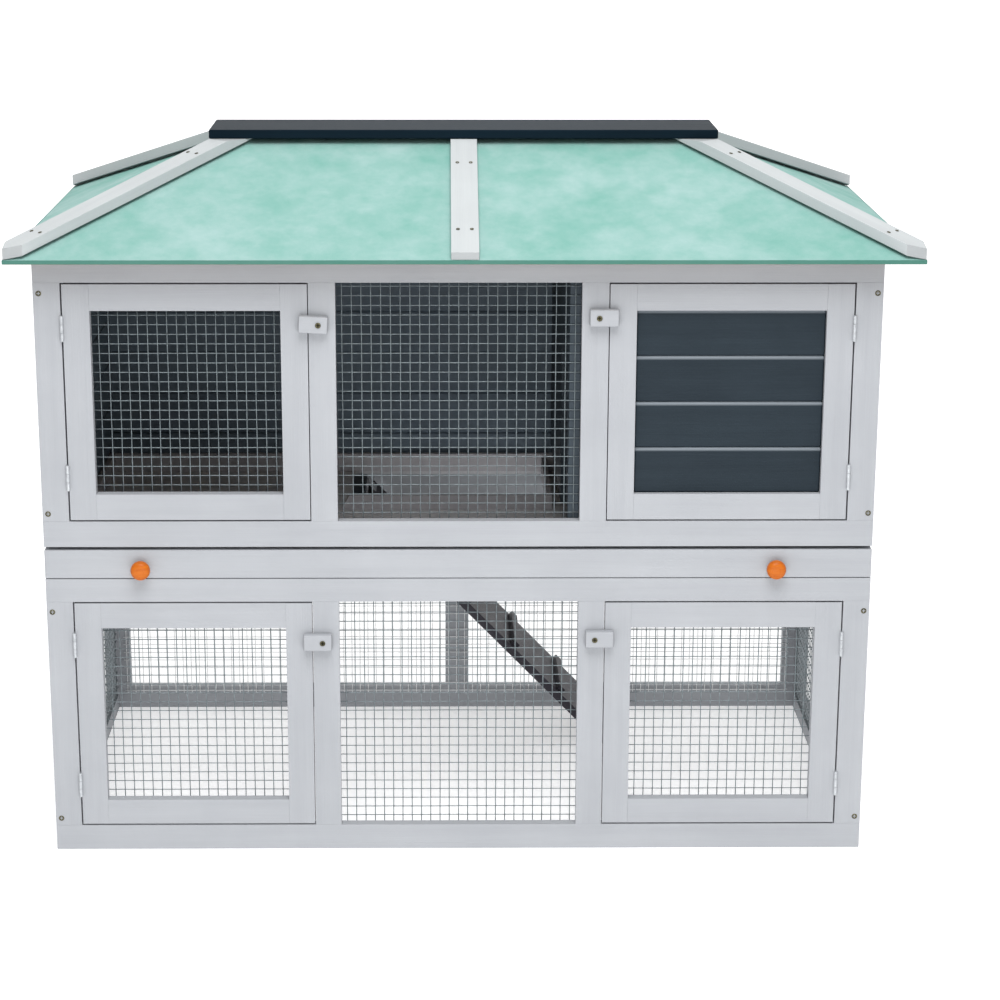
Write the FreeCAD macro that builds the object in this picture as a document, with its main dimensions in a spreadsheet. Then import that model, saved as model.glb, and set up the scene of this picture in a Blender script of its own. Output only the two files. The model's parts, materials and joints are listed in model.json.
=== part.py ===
import FreeCAD, Part
import math
import os
import re

# A two-storey timber hutch: mesh run below, closed room and nest room above, a pull-out
# tray between the storeys, a hinged ramp, four doors with turn buttons and a hipped felt roof.
#
# Frame of the model: millimetres, +Z up, +X to the right of a person facing the doors and
# +Y towards the back. The origin is on the ground, at the middle of the body.

Vector = FreeCAD.Vector
document = FreeCAD.newDocument("rabbit_hutch")

# ---------------------------------------------------------------- driving dimensions
SIZES = {
    # body
    "body_width": 1100,
    "body_depth": 580,
    "member_width": 35,
    "tray_rail": 32,
    "back_rail_drop": 15,
    "frame_thickness": 15,
    "lower_opening": 320,
    "upper_opening": 320,
    "slot_height": 44.5,
    "eave_rail": 42.5,
    # walls and partition
    "lining_thickness": 8,
    "back_board_rows": 7,
    "side_board_rows": 6,
    "door_board_rows": 4,
    "partition_thickness": 15,
    "partition_clearance": 0.5,
    "doorway_width": 160,
    "doorway_height": 225,
    "doorway_inset": 42,
    # doors, hinges and turn buttons
    "door_gap": 2,
    "latch_gap": 1.2,
    "door_member": 35,
    "hinge_length": 34,
    "hinge_inset": 58,
    "knuckle_diameter": 4.5,
    "pin_diameter": 2,
    "pin_clearance": 0.05,
    "knuckle_gap": 0.4,
    "leaf_thickness": 0.9,
    "leaf_width": 13,
    "barrel_clearance": 0.25,
    "button_length": 38,
    "button_width": 22,
    "button_thickness": 11,
    "button_tail": 12.5,
    "button_offset": 13,
    "button_play": 0.5,
    "button_bore_play": 0.3,
    "button_screw_length": 25,
    "upper_left_button_drop": 54,
    "upper_right_button_drop": 45,
    "lower_left_button_drop": 55,
    "lower_right_button_drop": 51,
    "upper_left_button_tilt": 3,
    # wire mesh
    "mesh_pitch": 12.7,
    "wire_size": 1.3,
    "mesh_lap": 10,
    # screws
    "screw_shank": 4,
    "screw_head": 7.5,
    "screw_head_height": 1,
    "screw_length": 38,
    "screw_low_inset": 45.5,
    "screw_high_inset": 14,
    "small_screw_shank": 2.5,
    "small_screw_head": 5,
    "small_screw_length": 12,
    # tray, its runners and knobs
    "runner_width": 20,
    "runner_height": 20,
    "tray_lift": 1,
    "tray_front_height": 39,
    "tray_base_thickness": 4,
    "tray_wall_height": 28,
    "tray_wall_thickness": 8,
    "tray_side_play": 2,
    "tray_back_play": 5,
    "hole_left": 157,
    "hole_right": 130,
    "hole_depth": 210,
    "sill_overrun": 12,
    "sill_height": 21,
    "knob_diameter": 26,
    "knob_neck": 14,
    "knob_head_depth": 14,
    "knob_neck_depth": 6,
    "knob_round": 5,
    "knob_spread": 422,
    "knob_rise": 14,
    # ramp
    "ramp_back_gap": 17,
    "ramp_width": 155,
    "ramp_thickness": 12,
    "ramp_angle": 46,
    "ramp_axis_left": 135.5,
    "ramp_axis_drop": 3.5,
    "ramp_end_gap": 0.5,
    "ramp_foot_gap": 0.5,
    "ramp_knuckle": 5,
    "ramp_leaf_thickness": 1,
    "ramp_leaf_width": 16,
    "ramp_hinge_inset": 35,
    "first_cleat": 110,
    "cleat_pitch": 100,
    "cleat_width": 12,
    "cleat_height": 8,
    "cleat_inset": 5,
    # roof
    "overhang": 38,
    "roof_rise": 135,
    "ridge_length": 526,
    "roof_shift": 8,
    "roof_board": 4.5,
    "felt_thickness": 1.5,
    "batten_width": 36,
    "batten_thickness": 9,
    "hip_batten_thickness": 14,
    "batten_screw_inset": 60,
    "batten_screw_spread": 18,
    "cap_length": 694,
    "cap_depth": 120,
    "cap_thickness": 12,
    "cap_seat": 0.3,
    "ridge_beam_height": 30,
}

sheet = document.addObject("Spreadsheet::Sheet", "Sizes")
for row, (alias, number) in enumerate(SIZES.items(), start=1):
    sheet.set(f"A{row}", alias)
    sheet.set(f"B{row}", str(number))
    sheet.setAlias(f"B{row}", alias)
document.recompute()


def bound(text):
    """An expression in which every size name points at its cell of the sheet."""
    return re.sub(r"[a-z]\w+", lambda word: f"Sizes.{word[0]}" if word[0] in SIZES else word[0], text)


def value(text):
    """The number that an expression on the sheet's sizes has now."""
    return float(sheet.evalExpression(bound(text)))


def minus(text):
    """The mirror image of a distance from the middle."""
    return f"-({text})"


# ---------------------------------------------------------------- planes that pieces share
RIGHT = "(body_width / 2)"
RIGHT_INNER = "(body_width / 2 - frame_thickness)"
LINING_RIGHT = "(body_width / 2 - frame_thickness - lining_thickness)"
FRONT = "(-body_depth / 2)"
FRONT_INNER = "(-body_depth / 2 + frame_thickness)"
BACK = "(body_depth / 2)"
BACK_INNER = "(body_depth / 2 - frame_thickness)"
LINING_BACK = "(body_depth / 2 - frame_thickness - lining_thickness)"

BAY_HALF = "((body_width - 4 * member_width) / 6)"
BAY_OUTER = f"({BAY_HALF} + member_width)"
DOOR_SIDE = "(body_width / 2 - member_width)"

LOWER_TOP = "(member_width + lower_opening + tray_rail)"
UPPER_BOTTOM = f"({LOWER_TOP} + slot_height)"
UPPER_TOP = f"({UPPER_BOTTOM} + member_width + upper_opening + eave_rail)"
LOWER_WINDOW = ("member_width", "(member_width + lower_opening)")
LOWER_BACK_WINDOW = ("member_width", "(member_width + lower_opening - back_rail_drop)")
UPPER_WINDOW = (f"({UPPER_BOTTOM} + member_width)", f"({UPPER_BOTTOM} + member_width + upper_opening)")

NODES = []


# ---------------------------------------------------------------- helpers
def node(name, pieces):
    """Name one sub-part. Several separate solids of one kind are held in a compound."""
    if len(pieces) == 1:
        part = pieces[0]
    else:
        part = document.addObject("Part::Compound", name)
        part.Links = pieces
    part.Label = name
    NODES.append(part)
    return part


def box(low, high, name="timber"):
    """A square-cut piece between two corners, each given as three expressions."""
    piece = document.addObject("Part::Box", name)
    for axis, side in enumerate(("Length", "Width", "Height")):
        piece.setExpression(side, bound(f"({high[axis]}) - ({low[axis]})"))
        piece.setExpression(".Placement.Base." + "xyz"[axis], bound(low[axis]))
    return piece


def pair(low, high):
    """A piece on the right-hand side and its mirror image on the left."""
    right = box(low, high)
    left = box((minus(high[0]),) + low[1:], (minus(low[0]),) + high[1:])
    return [left, right]


def feature(name, shape):
    """An object of the document for a shape that Part's own functions made."""
    piece = document.addObject("Part::Feature", name)
    piece.Shape = shape
    return piece


def prism(corners, way):
    """The solid that a flat polygon leaves behind when it moves along a vector."""
    return Part.Face(Part.makePolygon(corners + corners[:1])).extrude(way)


# ---------------------------------------------------------------- body frames
def frame_front(storey, low, window, high):
    """Four stiles and two full-width rails, which leave three equal bays."""
    stiles = pair((BAY_HALF, FRONT, window[0]), (BAY_OUTER, FRONT_INNER, window[1]))
    stiles += pair((DOOR_SIDE, FRONT, window[0]), (RIGHT, FRONT_INNER, window[1]))
    node(f"{storey}_front_stiles", stiles)
    rails = [
        box((minus(RIGHT), FRONT, low), (RIGHT, FRONT_INNER, window[0])),
        box((minus(RIGHT), FRONT, window[1]), (RIGHT, FRONT_INNER, high)),
    ]
    node(f"{storey}_front_rails", rails)


def frame_back(storey, low, window, high):
    """Two corner stiles, a centre post and two full-width rails."""
    stiles = pair((DOOR_SIDE, BACK_INNER, window[0]), (RIGHT, BACK, window[1]))
    half_post = "(member_width / 2)"
    stiles.append(box((minus(half_post), BACK_INNER, window[0]), (half_post, BACK, window[1])))
    node(f"{storey}_back_stiles", stiles)
    rails = [
        box((minus(RIGHT), BACK_INNER, low), (RIGHT, BACK, window[0])),
        box((minus(RIGHT), BACK_INNER, window[1]), (RIGHT, BACK, high)),
    ]
    node(f"{storey}_back_rails", rails)


def frame_sides(storey, low, window, high):
    """Left and right frames, which stand between the front and the back frame."""
    stiles = []
    for near, far in (
        (FRONT_INNER, f"{FRONT_INNER} + member_width"),
        (f"{BACK_INNER} - member_width", BACK_INNER),
    ):
        stiles += pair((RIGHT_INNER, near, window[0]), (RIGHT, far, window[1]))
    node(f"{storey}_side_stiles", stiles)
    rails = pair((RIGHT_INNER, FRONT_INNER, low), (RIGHT, BACK_INNER, window[0]))
    rails += pair((RIGHT_INNER, FRONT_INNER, window[1]), (RIGHT, BACK_INNER, high))
    node(f"{storey}_side_rails", rails)


for storey, low, window, back_window, high in (
    ("lower", "0", LOWER_WINDOW, LOWER_BACK_WINDOW, LOWER_TOP),
    ("upper", UPPER_BOTTOM, UPPER_WINDOW, UPPER_WINDOW, UPPER_TOP),
):
    frame_front(storey, low, window, high)
    frame_back(storey, low, back_window, high)
    frame_sides(storey, low, window, high)

# The rails beside and behind the tray carry the upper storey on the lower one.
slot_rails = pair((RIGHT_INNER, FRONT_INNER, LOWER_TOP), (RIGHT, BACK_INNER, UPPER_BOTTOM))
slot_rails.append(box((minus(RIGHT), BACK_INNER, LOWER_TOP), (RIGHT, BACK, UPPER_BOTTOM)))
node("tray_slot_rails", slot_rails)

# ---------------------------------------------------------------- lining boards and partition
def board_rows(low, high, rows):
    """Horizontal boards of equal height, one above the other, between two corners."""
    boards = []
    for index in range(int(value(rows))):
        bottom = f"({low[2]}) + (({high[2]}) - ({low[2]})) * {index} / {rows}"
        top = f"({low[2]}) + (({high[2]}) - ({low[2]})) * {index + 1} / {rows}"
        boards.append(box((low[0], low[1], bottom), (high[0], high[1], top)))
    return boards


node("back_wall_boards", board_rows(
    (minus(RIGHT_INNER), LINING_BACK, LOWER_TOP), (RIGHT_INNER, BACK_INNER, UPPER_TOP), "back_board_rows"))
side_boards = []
for near, far in ((minus(RIGHT_INNER), minus(LINING_RIGHT)), (LINING_RIGHT, RIGHT_INNER)):
    low, high = (near, FRONT_INNER, UPPER_BOTTOM), (far, LINING_BACK, UPPER_TOP)
    side_boards += board_rows(low, high, "side_board_rows")
node("side_wall_boards", side_boards)

# The partition stands behind the mesh, between the middle bay and the nest room. A doorway
# near the front joins the two rooms.
partition_front = f"({FRONT_INNER} + 2 * wire_size + partition_clearance)"
door_front = f"({partition_front} + doorway_inset)"
door_back = f"({door_front} + doorway_width)"
lintel = f"({UPPER_BOTTOM} + doorway_height)"
partition_left = f"({BAY_HALF} - partition_thickness)"
node("nest_partition", [
    box((partition_left, partition_front, UPPER_BOTTOM), (BAY_HALF, door_front, UPPER_TOP)),
    box((partition_left, door_back, UPPER_BOTTOM), (BAY_HALF, LINING_BACK, UPPER_TOP)),
    box((partition_left, door_front, lintel), (BAY_HALF, door_back, UPPER_TOP)),
])

# ---------------------------------------------------------------- tray runners and bearers
runner_bottom = f"({LOWER_TOP} - runner_height)"
runner_inner = f"({RIGHT_INNER} - runner_width)"
node("tray_runners", pair((runner_inner, FRONT_INNER, runner_bottom), (RIGHT_INNER, BACK_INNER, LOWER_TOP)))
bearer_edge = "(ramp_axis_left + ramp_knuckle / 2)"
bearer_far = f"({bearer_edge} + runner_width)"
node("floor_bearers", pair((bearer_edge, FRONT_INNER, runner_bottom), (bearer_far, BACK_INNER, LOWER_TOP)))


# ---------------------------------------------------------------- wire mesh
def comb(corner, along, up, square):
    """Parallel wires across a sheet, joined at their upper ends by the wire that closes it.

    along and up are the sheet's two edges from its corner, and square is the direction of
    its thickness.
    """
    length, height = along.Length, up.Length
    count = int((length - 2 * wire) / pitch)
    first = (length - count * pitch) / 2

    def at(right, rise):
        return corner + along * (right / length) + up * (rise / height)

    outline = [at(0, height), at(0, height - wire)]
    for index in range(count + 1):
        left = first + index * pitch - wire / 2
        outline += [
            at(left, height - wire),
            at(left, 0),
            at(left + wire, 0),
            at(left + wire, height - wire),
        ]
    outline += [at(length, height - wire), at(length, height)]
    return feature("wires", prism(outline, square * wire))


def mesh_sheet(low, high, axis, face, inward):
    """Upright wires with level wires welded on their inner side, lapped onto a window's frame.

    low and high are the window's corners along the sheet and upwards. The sheet's outer face
    lies at face on the x or y axis, and inward is the direction of its inner side.
    """
    start, bottom = value(low[0]) - mesh_lap, value(low[1]) - mesh_lap
    length, height = value(high[0]) + mesh_lap - start, value(high[1]) + mesh_lap - bottom
    up = Vector(0, 0, height)
    if axis == "y":
        corner, along, square = Vector(start, value(face), bottom), Vector(length, 0, 0), Vector(0, inward, 0)
    else:
        corner, along, square = Vector(value(face), start, bottom), Vector(0, length, 0), Vector(inward, 0, 0)
    return [comb(corner, along, up, square), comb(corner + square * wire, up, along, square)]


pitch, wire, mesh_lap = value("mesh_pitch"), value("wire_size"), value("mesh_lap")
side_window = (f"{FRONT_INNER} + member_width", f"{BACK_INNER} - member_width")
for name, half_width, window, face, inward in (
    ("lower_centre_mesh", BAY_HALF, LOWER_WINDOW, FRONT_INNER, 1),
    ("upper_centre_mesh", BAY_HALF, UPPER_WINDOW, FRONT_INNER, 1),
    ("lower_back_mesh", DOOR_SIDE, LOWER_BACK_WINDOW, BACK_INNER, -1),
):
    low, high = (minus(half_width), window[0]), (half_width, window[1])
    node(name, mesh_sheet(low, high, "y", face, inward))
side_low, side_high = (side_window[0], LOWER_WINDOW[0]), (side_window[1], LOWER_WINDOW[1])
node("lower_side_meshes",
     mesh_sheet(side_low, side_high, "x", minus(RIGHT_INNER), 1)
     + mesh_sheet(side_low, side_high, "x", RIGHT_INNER, -1))


# ---------------------------------------------------------------- hinges
def leaf(faces, reach, knuckles, radius, bore):
    """One leaf of a butt hinge, with the pin along Z at the origin and the plate along +Y.

    faces are the plate's two faces along X, reach is its far edge along Y, and knuckles lists
    the stretches of the barrel that belong to this leaf.
    """
    near, far = faces
    clear = radius + barrel_gap
    plate = Part.makeBox(far - near, reach - clear, hinge_length, Vector(near, clear, -hinge_length / 2))
    for bottom, top in knuckles:
        barrel = Part.makeCylinder(radius, top - bottom, Vector(0, 0, bottom))
        tongue = Part.makeBox(far - near, clear, top - bottom, Vector(near, 0, bottom))
        plate = plate.fuse([barrel, tongue])
    hole = Part.makeCylinder(bore, hinge_length, Vector(0, 0, -hinge_length / 2))
    return plate.cut(hole).removeSplitter()


hinge_length = value("hinge_length")
barrel_gap = value("barrel_clearance")
pin_radius = value("pin_diameter / 2")
bore_radius = value("pin_diameter / 2 + pin_clearance")
middle_top = value("hinge_length / 6 - knuckle_gap / 2")
outer_bottom = value("hinge_length / 6 + knuckle_gap / 2")
middle_knuckle = [(-middle_top, middle_top)]
outer_knuckles = [(-hinge_length / 2, -outer_bottom), (outer_bottom, hinge_length / 2)]

knuckle_radius = value("knuckle_diameter / 2")
leaf_reach = value("leaf_width") + knuckle_radius + barrel_gap
seam_half = value("door_gap / 2")
seam_inner = seam_half - value("leaf_thickness")
fixed_leaf = leaf((-seam_half, -seam_inner), leaf_reach, outer_knuckles, knuckle_radius, pin_radius)
door_leaf = leaf((seam_inner, seam_half), leaf_reach, middle_knuckle, knuckle_radius, bore_radius)
hinge_pin = Part.makeCylinder(pin_radius, hinge_length, Vector(0, 0, -hinge_length / 2))

hinge_x = value(f"{DOOR_SIDE} - door_gap / 2")
hinge_y = value(f"{FRONT} - knuckle_diameter / 2 - barrel_clearance")


def place_hinge(shape, side, height):
    """Stand a hinge piece in the seam of a left-hand (-1) or right-hand (1) door."""
    placed = shape.copy()
    if side > 0:
        placed = placed.mirror(Vector(0, 0, 0), Vector(1, 0, 0))
    placed.translate(Vector(side * hinge_x, hinge_y, height))
    return placed


# ---------------------------------------------------------------- doors
DOORS = (
    ("lower_left", -1, LOWER_WINDOW),
    ("lower_right", 1, LOWER_WINDOW),
    ("upper_left", -1, UPPER_WINDOW),
    ("upper_right", 1, UPPER_WINDOW),
)
hinge_shapes = []


def mirrored(low, high, side):
    """The same stretch along X on the left (-1) or the right (1) of the middle."""
    if side > 0:
        return low, high
    return minus(high), minus(low)


def door(name, side, window):
    """A frame of two stiles and two rails, its filling, and the moving leaves of its hinges."""
    bottom, top = f"({window[0]} + door_gap)", f"({window[1]} - door_gap)"
    near, far = f"({BAY_OUTER} + latch_gap)", f"({DOOR_SIDE} - door_gap)"
    stile_near, stile_far = f"({near} + door_member)", f"({far} - door_member)"
    rail_low, rail_high = f"({bottom} + door_member)", f"({top} - door_member)"
    members = []
    for inner, outer, low, high in (
        (near, stile_near, bottom, top),
        (stile_far, far, bottom, top),
        (stile_near, stile_far, bottom, rail_low),
        (stile_near, stile_far, rail_high, top),
    ):
        left, right = mirrored(inner, outer, side)
        members.append(box((left, FRONT, low), (right, FRONT_INNER, high)))
    node(f"{name}_door_frame", members)

    left, right = mirrored(stile_near, stile_far, side)
    if name == "upper_right":
        face = f"({FRONT_INNER} - lining_thickness)"
        node(f"{name}_door_boards", board_rows((left, face, rail_low), (right, FRONT_INNER, rail_high),
                                               "door_board_rows"))
    else:
        wires = mesh_sheet((left, rail_low), (right, rail_high), "y", FRONT_INNER, 1)
        node(f"{name}_door_mesh", wires)

    leaves = []
    for height in (value(f"{bottom} + hinge_inset"), value(f"{top} - hinge_inset")):
        leaves.append(feature("door_leaf", place_hinge(door_leaf, side, height)))
        hinge_shapes.append(place_hinge(fixed_leaf, side, height))
        hinge_shapes.append(place_hinge(hinge_pin, side, height))
    node(f"{name}_door_leaves", leaves)


for name, side, window in DOORS:
    door(name, side, window)


# ---------------------------------------------------------------- turn buttons
def turn_button(name, side, window):
    """A wooden block bored for its screw, lying across the seam between stile and door."""
    tilt = f"{name}_button_tilt"
    angle = value(tilt) if tilt in SIZES else 0
    block = document.addObject("Part::Box", "button_block")
    block.setExpression("Length", bound("button_length"))
    block.setExpression("Width", bound("button_thickness"))
    block.setExpression("Height", bound("button_width"))
    tail = "button_tail" if side > 0 else "button_length - button_tail"
    bore = document.addObject("Part::Cylinder", "button_bore")
    bore.setExpression("Radius", bound("screw_shank / 2 + button_bore_play"))
    bore.setExpression("Height", bound("3 * button_thickness"))
    bore.setExpression(".Placement.Base.x", bound(tail))
    bore.setExpression(".Placement.Base.z", bound("button_width / 2"))
    bore.Placement.Rotation = FreeCAD.Rotation(Vector(1, 0, 0), -90)
    bore.setExpression(".Placement.Base.y", bound("-button_thickness"))
    button = document.addObject("Part::Cut", "button")
    button.Base = block
    button.Tool = bore
    centre = Vector(side * value(f"{BAY_OUTER} - button_offset"),
                    value(f"{FRONT} - button_play - button_thickness"),
                    value(f"{window[1]} - {name}_button_drop"))
    pivot = Vector(value(tail), 0, value("button_width / 2"))
    turn = FreeCAD.Rotation(Vector(0, 1, 0), angle)
    button.Placement = FreeCAD.Placement(centre - turn.multVec(pivot), turn)
    node(f"{name}_turn_button", [button])
    return centre


def wood_screw(head_face, direction, shank, head, head_height, length):
    """A plain screw: a low round head outside head_face and a shank that runs inwards."""
    cap = Part.makeCylinder(head / 2, head_height, head_face, -direction)
    body = Part.makeCylinder(shank / 2, length, head_face, direction)
    return cap.fuse(body).removeSplitter()


inwards = Vector(0, 1, 0)
shank, head, head_height = value("screw_shank"), value("screw_head"), value("screw_head_height")
button_screws = []
for name, side, window in DOORS:
    centre = turn_button(name, side, window)
    face = centre - inwards * value("button_play")
    shape = wood_screw(face, inwards, shank, head, head_height, value("button_screw_length"))
    button_screws.append(feature("screw", shape))
node("turn_button_screws", button_screws)

# ---------------------------------------------------------------- corner screws of the body
corner_screws = []
edge = value(f"({RIGHT} + {RIGHT_INNER}) / 2")
for low, y, direction, window_top in (
    ("0", value(FRONT), inwards, LOWER_WINDOW[1]),
    ("0", value(BACK), -inwards, LOWER_BACK_WINDOW[1]),
    (UPPER_BOTTOM, value(FRONT), inwards, UPPER_WINDOW[1]),
    (UPPER_BOTTOM, value(BACK), -inwards, UPPER_WINDOW[1]),
):
    for height in (value(f"{low} + screw_low_inset"), value(f"{window_top} - screw_high_inset")):
        for x in (-edge, edge):
            face = Vector(x, y, height)
            shape = wood_screw(face, direction, shank, head, head_height, value("screw_length"))
            corner_screws.append(feature("screw", shape))
node("corner_screws", corner_screws)

# ---------------------------------------------------------------- tray
tray_bottom = f"({LOWER_TOP} + tray_lift)"
tray_floor = f"({tray_bottom} + tray_base_thickness)"
tray_top = f"({tray_floor} + tray_wall_height)"
tray_right = f"({RIGHT_INNER} - tray_side_play)"
tray_back = f"({LINING_BACK} - tray_back_play)"
wall_inner = f"({tray_right} - tray_wall_thickness)"
back_wall_inner = f"({tray_back} - tray_wall_thickness)"
hole_front = f"({back_wall_inner} - hole_depth)"

front_top = f"({tray_bottom} + tray_front_height)"
node("tray_front", [box((minus(RIGHT), FRONT, tray_bottom), (RIGHT, FRONT_INNER, front_top))])

base = document.addObject("Part::Cut", "tray_base")
base.Base = box((minus(tray_right), FRONT_INNER, tray_bottom), (tray_right, tray_back, tray_floor))
base.Tool = box(("-hole_left", hole_front, f"{tray_bottom} - tray_base_thickness"),
                ("hole_right", back_wall_inner, f"{tray_floor} + tray_base_thickness"))
node("tray_base", [base])

# Sides and back stand on the base. The sill along the ramp hole has its left end cut at a
# slant, where the animals step off the ramp, and a cheek closes the hole's right end.
sill_front = value(f"{hole_front} - tray_wall_thickness")
sill_left = value("-hole_left - sill_overrun")
sill_right = value("hole_right + tray_wall_thickness")
floor_level, sill_top = value(tray_floor), value(f"{tray_floor} + sill_height")
slant = value("sill_overrun")
sill_outline = [
    Vector(sill_left, sill_front, floor_level),
    Vector(sill_right, sill_front, floor_level),
    Vector(sill_right, sill_front, sill_top),
    Vector(sill_left + slant, sill_front, sill_top),
    Vector(sill_left, sill_front, sill_top - slant),
]
sill = prism(sill_outline, Vector(0, value("tray_wall_thickness"), 0))
walls = pair((wall_inner, FRONT_INNER, tray_floor), (tray_right, tray_back, tray_top))
walls.append(box((minus(wall_inner), back_wall_inner, tray_floor), (wall_inner, tray_back, tray_top)))
walls.append(feature("sill", sill))
walls.append(box(("hole_right", hole_front, tray_floor),
                 ("hole_right + tray_wall_thickness", back_wall_inner, f"{tray_floor} + sill_height")))
node("tray_walls", walls)


def knob(side):
    """A turned knob: a short neck and a round-edged head, screwed to the tray's front."""
    face = value(FRONT)
    centre = Vector(side * value("knob_spread"), face, value(f"{tray_bottom} + knob_rise"))
    outwards = Vector(0, -1, 0)
    neck_depth, head_depth = value("knob_neck_depth"), value("knob_head_depth")
    neck = Part.makeCylinder(value("knob_neck / 2"), neck_depth + head_depth / 2, centre, outwards)
    seat = centre + outwards * neck_depth
    disc = Part.makeCylinder(value("knob_diameter / 2"), head_depth, seat, outwards)
    rims = [rim for rim in disc.Edges if isinstance(rim.Curve, Part.Circle)]
    disc = disc.makeFillet(value("knob_round"), rims)
    return feature("knob", disc.fuse(neck).removeSplitter())


node("tray_knobs", [knob(-1), knob(1)])

# ---------------------------------------------------------------- ramp
# The ramp's own directions: down its length, and square to its walking face.
angle = math.radians(value("ramp_angle"))
down = Vector(math.cos(angle), 0, -math.sin(angle))
square = Vector(math.sin(angle), 0, math.cos(angle))
across = Vector(0, 1, 0)
axis = Vector(value("-ramp_axis_left"), value(f"{BACK_INNER} - ramp_back_gap - ramp_width"),
              value(f"{LOWER_TOP} - ramp_axis_drop"))
ramp_radius = value("ramp_knuckle / 2")
ramp_leaf = value("ramp_leaf_thickness")
walking_face = ramp_radius - ramp_leaf
under_face = walking_face - value("ramp_thickness")
ramp_length = (axis.z - value("ramp_foot_gap") + under_face * math.cos(angle)) / math.sin(angle)
ramp_width = value("ramp_width")
# The board's upper end is cut square, and its lower corner stays clear of the leaf on the bearer.
corner_reach = -under_face * math.sin(angle) - walking_face + value("ramp_end_gap")
ramp_start = max(ramp_radius + value("barrel_clearance"), corner_reach / math.cos(angle))


def ramp_block(start, end, low, high, inset=0):
    """A piece square to the ramp: from start to end along it and low to high off its axis."""
    corners = [axis + down * along + square * off + across * inset
               for along, off in ((start, low), (end, low), (end, high), (start, high))]
    return prism(corners, across * (ramp_width - 2 * inset))


board = ramp_block(ramp_start, ramp_length, under_face, walking_face)
node("ramp_board", [feature("board", board)])
cleat_width, cleat_top = value("cleat_width"), walking_face + value("cleat_height")
cleats = []
start = value("first_cleat")
while start + cleat_width < ramp_length:
    cleat = ramp_block(start, start + cleat_width, walking_face, cleat_top, value("cleat_inset"))
    cleats.append(feature("cleat", cleat))
    start += value("cleat_pitch")
node("ramp_cleats", cleats)


def on_ramp_pin(shape, plate_way, plate_side, centre):
    """A hinge leaf stood on the ramp's pin, with its plate running plate_way."""
    along_pin = plate_side.cross(plate_way)
    placed = shape.copy()
    placed.Placement = FreeCAD.Placement(centre, FreeCAD.Rotation(plate_side, plate_way, along_pin))
    return placed


plate_faces, ramp_reach = (walking_face, ramp_radius), value("ramp_leaf_width")
bearer_leaf = leaf(plate_faces, ramp_reach, outer_knuckles, ramp_radius, pin_radius)
board_leaf = leaf(plate_faces, ramp_reach, middle_knuckle, ramp_radius, bore_radius)
ramp_leaves = []
inset = value("ramp_hinge_inset")
for reach in (inset, ramp_width - inset):
    centre = axis + across * reach
    pin_end = centre - across * (hinge_length / 2)
    hinge_shapes.append(on_ramp_pin(bearer_leaf, Vector(0, 0, -1), Vector(-1, 0, 0), centre))
    hinge_shapes.append(Part.makeCylinder(pin_radius, hinge_length, pin_end, across))
    ramp_leaves.append(feature("ramp_leaf", on_ramp_pin(board_leaf, down, square, centre)))
node("ramp_hinge_leaves", ramp_leaves)
node("hinge_fixed_leaves", [feature("hinge_piece", shape) for shape in hinge_shapes])

# ---------------------------------------------------------------- roof
eave_x, eave_y = value(f"{RIGHT} + overhang"), value(f"{BACK} + overhang")
ridge_half = value("ridge_length / 2")
rise = value("roof_rise")
front_slope, side_slope = rise / eave_y, rise / (eave_x - ridge_half)
covering = value("roof_board + felt_thickness")
overhang, roof_shift = value("overhang"), value("roof_shift")
eave_drop = min(front_slope * overhang, side_slope * (overhang - abs(roof_shift)))
eave_top = value(UPPER_TOP) + covering - eave_drop
batten, hip_thickness = value("batten_thickness"), value("hip_batten_thickness")
batten_width = value("batten_width")
batten_height = batten * math.hypot(1, front_slope)
cap_half = value("cap_depth / 2")
cap_bottom = eave_top + front_slope * (eave_y - cap_half) + batten_height + value("cap_seat")
beam_half = cap_half - (batten_height + value("cap_seat")) / front_slope


def hip_x(y):
    """How far from the middle the hip line runs at a distance y from the ridge."""
    return ridge_half + (eave_x - ridge_half) * y / eave_y


beam_end = hip_x(beam_half)


def roof_corner(x, y, drop):
    """A point of the roof's outer surface, lowered by the layers above it."""
    height = min(front_slope * (eave_y - abs(y)), side_slope * (eave_x - abs(x)))
    return Vector(x + roof_shift, y, eave_top + height - drop)


def roof_layer(drop, thickness):
    """The slabs of one layer: two in front, two behind and one at each end."""
    slabs = {"front": [], "back": [], "ends": []}
    for face, way in (("front", -1), ("back", 1)):
        for side in (-1, 1):
            outline = ((0, eave_y), (side * eave_x, eave_y), (side * beam_end, beam_half), (0, beam_half))
            corners = [roof_corner(x, way * y, drop) for x, y in outline]
            slabs[face].append(feature("slab", prism(corners, Vector(0, 0, -thickness))))
    for way in (-1, 1):
        outline = ((eave_x, -eave_y), (eave_x, eave_y), (beam_end, beam_half), (beam_end, -beam_half))
        corners = [roof_corner(way * x, y, drop) for x, y in outline]
        slabs["ends"].append(feature("slab", prism(corners, Vector(0, 0, -thickness))))
    return slabs


for label, drop, thickness in (
    ("roof_board", value("felt_thickness"), value("roof_board")),
    ("roof_felt", 0, value("felt_thickness")),
):
    for face, slabs in roof_layer(drop, thickness).items():
        node(f"{label}_{face}", slabs)

beam_height, cap_length = value("ridge_beam_height"), value("cap_length")
beam = Part.makeBox(2 * beam_end, 2 * beam_half, beam_height,
                    Vector(roof_shift - beam_end, -beam_half, cap_bottom - beam_height))
cap = Part.makeBox(cap_length, 2 * cap_half, value("cap_thickness"),
                   Vector(roof_shift - cap_length / 2, -cap_half, cap_bottom))
node("ridge_beam", [feature("beam", beam)])
node("ridge_cap", [feature("cap", cap)])

# Hip battens lie on the four hips. Their feet are cut plumb to the roof's corners, and their
# tops are cut level, so that they slip under the cap.
small_shank, small_head = value("small_screw_shank"), value("small_screw_head")
screw_inset, screw_spread = value("batten_screw_inset"), value("batten_screw_spread")
batten_screws = []


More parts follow.
